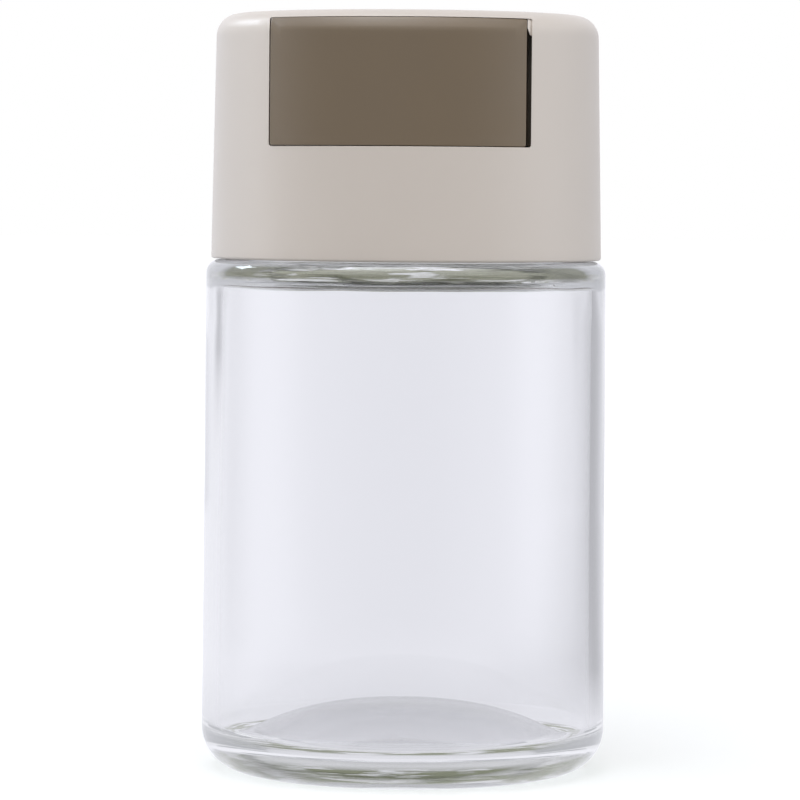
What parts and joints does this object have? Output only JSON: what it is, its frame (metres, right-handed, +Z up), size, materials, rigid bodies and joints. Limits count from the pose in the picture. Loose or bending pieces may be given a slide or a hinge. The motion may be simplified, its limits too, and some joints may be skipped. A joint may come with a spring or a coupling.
{
  "type": "push-button seasoning bottle",
  "caption": "Clear round glass jar with a cream screw cap; a wide push button in the cap's front works a dosing slide that gives out a measured pinch of salt through the top.",
  "frame": {"origin": "middle of the jar's foot, on the surface that it stands on", "axes": "+Z up along the bottle's axis, -Y towards the push button, +X to the right seen from the button"},
  "size_m": [0.06, 0.06, 0.1123],
  "materials": {
    "clear_glass": "clear, faintly green where it is thick",
    "cream_plastic": "warm cream, fine satin",
    "taupe_plastic": "brown grey, fine satin",
    "white_plastic": "moulded, half matt",
    "silicone": "milky, matt",
    "steel": "bright wire and screw steel"
  },
  "bodies": {
    "jar": {"glass_jar": "clear_glass"},
    "seal": {"gasket": "silicone"},
    "cap": {"cap_shell": "cream_plastic", "inner_cap": "white_plastic", "valve_cover": "cream_plastic", "inlet_seal": "silicone", "outlet_seal": "silicone", "cover_screw_1": "steel", "cover_screw_2": "steel", "cover_screw_3": "steel", "cover_screw_4": "steel", "return_spring_left": "steel", "return_spring_right": "steel"},
    "button": {"push_button": "taupe_plastic", "dosing_slide": "white_plastic"}
  },
  "joints": [
    {"name": "cap_rise", "type": "slide", "parent": "jar", "child": "seal", "axis": [0, 0, 1], "range_m": [0, 0.0126]},
    {"name": "cap_turn", "type": "hinge", "parent": "seal", "child": "cap", "pos_m": [0, 0, 0.0943], "axis": [0, 0, 1], "range_deg": [0, 900]},
    {"name": "button_press", "type": "slide", "parent": "cap", "child": "button", "axis": [0, 1, 0], "range_m": [0, 0.008], "stiffness_N_per_m": 300, "springref_m": -0.006, "deforming": ["return_spring_left", "return_spring_right"]}
  ],
  "couplings": [
    {"joint": "cap_rise", "follows": "cap_turn", "m_per_rad": 0.00079577}
  ]
}
